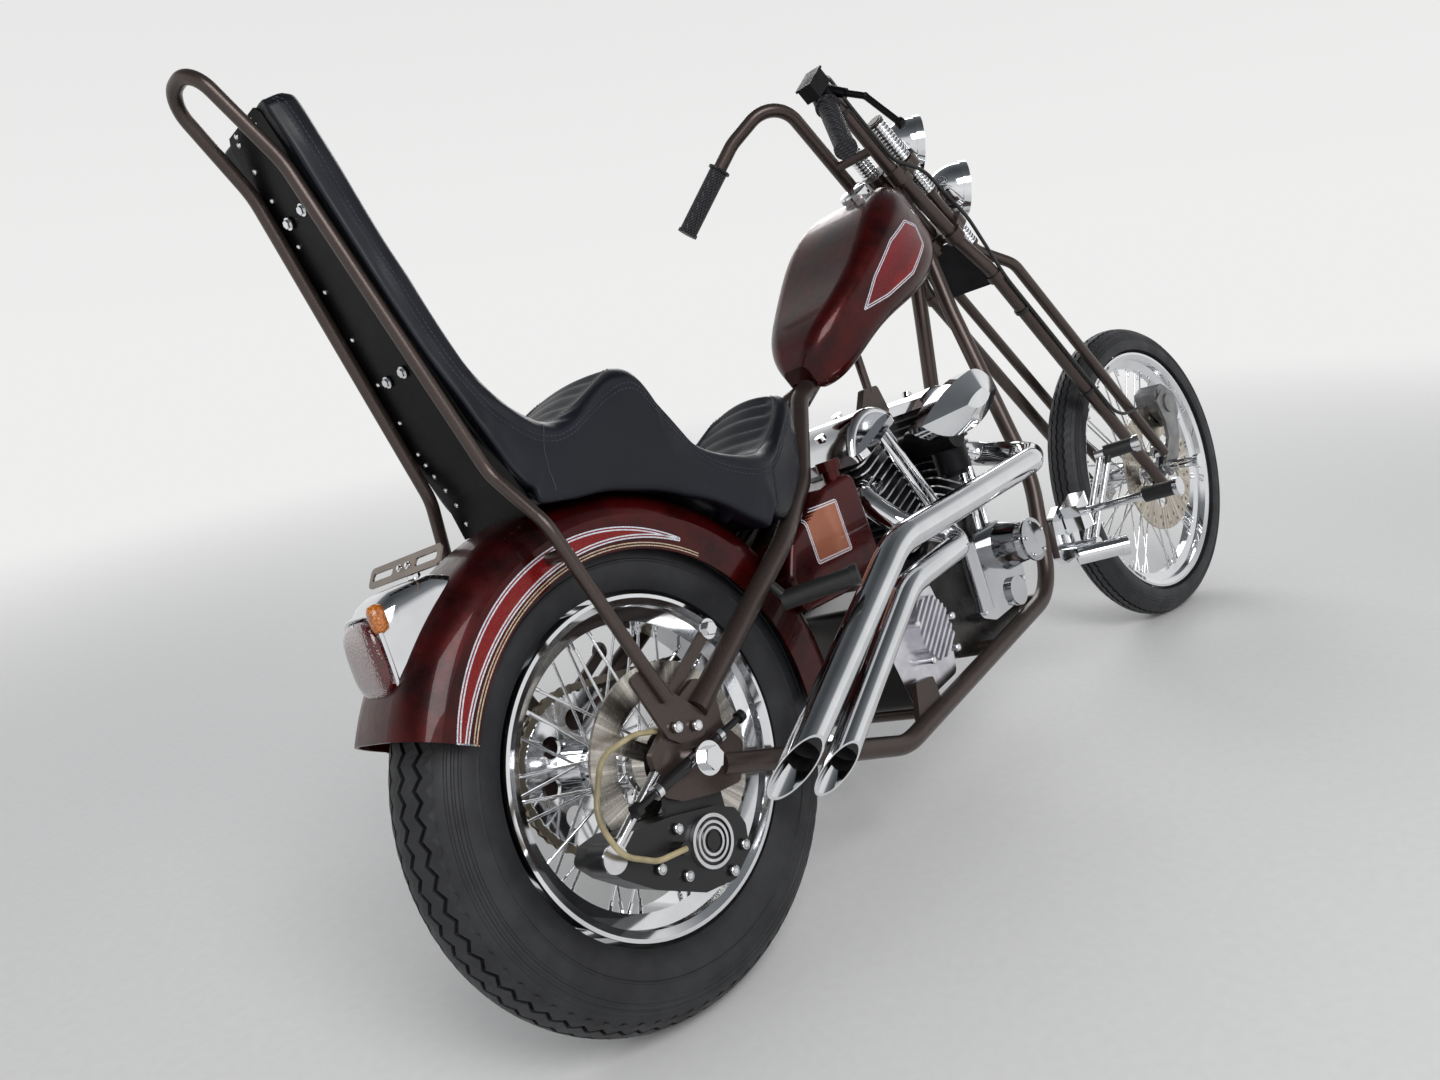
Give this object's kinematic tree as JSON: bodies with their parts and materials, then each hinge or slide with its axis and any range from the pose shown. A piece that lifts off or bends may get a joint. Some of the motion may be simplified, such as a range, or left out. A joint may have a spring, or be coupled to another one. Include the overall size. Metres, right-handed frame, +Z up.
{
  "type": "chopper motorcycle",
  "caption": "Long-forked V-twin chopper with a rigid frame, springer fork, tall backrest and twin slash-cut exhausts, leaning on its side stand.",
  "frame": {"origin": "on the floor below the middle of the whole leaning motorcycle", "axes": "+X forward, +Y to the left, +Z up from the floor"},
  "size_m": [2.3506, 0.7704, 1.2383],
  "materials": {
    "frame_paint": "satin metallic",
    "flake_paint": "gloss metal flake under clear coat, with white and silver-blue pinstripes",
    "chrome": "polished",
    "polished_alloy": "polished",
    "cast_alloy": "bead-blasted",
    "dark_metal": "satin",
    "steel": "brushed",
    "leather": "satin, with stitched seams",
    "rubber": "matte",
    "hose": "satin",
    "tyre": "matte",
    "clear_glass": "fluted",
    "red_lens": "gloss"
  },
  "bodies": {
    "motorcycle": {"frame": "frame_paint", "rear_axle": "chrome", "rear_fender": "flake_paint", "seat": "leather", "sissy_bar": "frame_paint", "backrest_board": "dark_metal", "backrest_pad": "leather", "fuel_tank": "flake_paint", "fuel_cap": "chrome", "oil_tank": "flake_paint", "crankcase": "cast_alloy", "cylinders": "cast_alloy", "rocker_covers": "chrome", "gear_cover": "polished_alloy", "pushrod_tubes": "chrome", "carburettor": "dark_metal", "air_cleaner": "chrome", "transmission": "cast_alloy", "primary_case": "polished_alloy", "front_exhaust_pipe": "chrome", "rear_exhaust_pipe": "chrome", "drive_chain": "steel", "rear_caliper": "dark_metal", "rear_brake_hose": "hose", "tail_lamp": "chrome", "tail_lamp_lens": "red_lens", "plate_bracket": "steel", "passenger_pegs": "rubber", "forward_controls": "chrome"},
    "fork": {"steering_yokes": "frame_paint", "rear_fork_legs": "frame_paint", "front_fork_legs": "frame_paint", "fork_springs": "chrome", "fork_brace": "dark_metal", "fork_rockers": "chrome", "front_axle": "chrome", "handlebars": "frame_paint", "handlebar_grips": "rubber", "brake_lever": "dark_metal", "headlamps": "chrome", "headlamp_lenses": "clear_glass", "front_caliper": "chrome", "front_brake_hose": "rubber"},
    "rear_wheel": {"rear_tyre": "tyre", "rear_rim_and_spokes": "chrome", "rear_disc": "steel", "rear_sprocket": "chrome"},
    "front_wheel": {"front_tyre": "tyre", "front_rim_and_spokes": "chrome", "front_disc": "steel"},
    "side_stand": {"side_stand_leg": "chrome"}
  },
  "joints": [
    {"name": "steering", "type": "hinge", "parent": "motorcycle", "child": "fork", "pos_m": [0.2218, 0.11997, 0.98149], "axis": [-0.6167, 0.2172, 0.7567], "range_deg": [-24, 36]},
    {"name": "front_wheel_spin", "type": "hinge", "parent": "fork", "child": "front_wheel", "pos_m": [0.83436, -0.07284, 0.33515], "axis": [0.0826, 0.9737, -0.2122], "continuous": true},
    {"name": "rear_wheel_spin", "type": "hinge", "parent": "motorcycle", "child": "rear_wheel", "pos_m": [-0.84533, -0.06939, 0.3197], "axis": [0.0004, 0.9613, -0.2756], "continuous": true},
    {"name": "stand_swing", "type": "hinge", "parent": "motorcycle", "child": "side_stand", "pos_m": [-0.2451, 0.05159, 0.14015], "axis": [0.0412, 0.7402, 0.6712], "range_deg": [0, 112]}
  ]
}
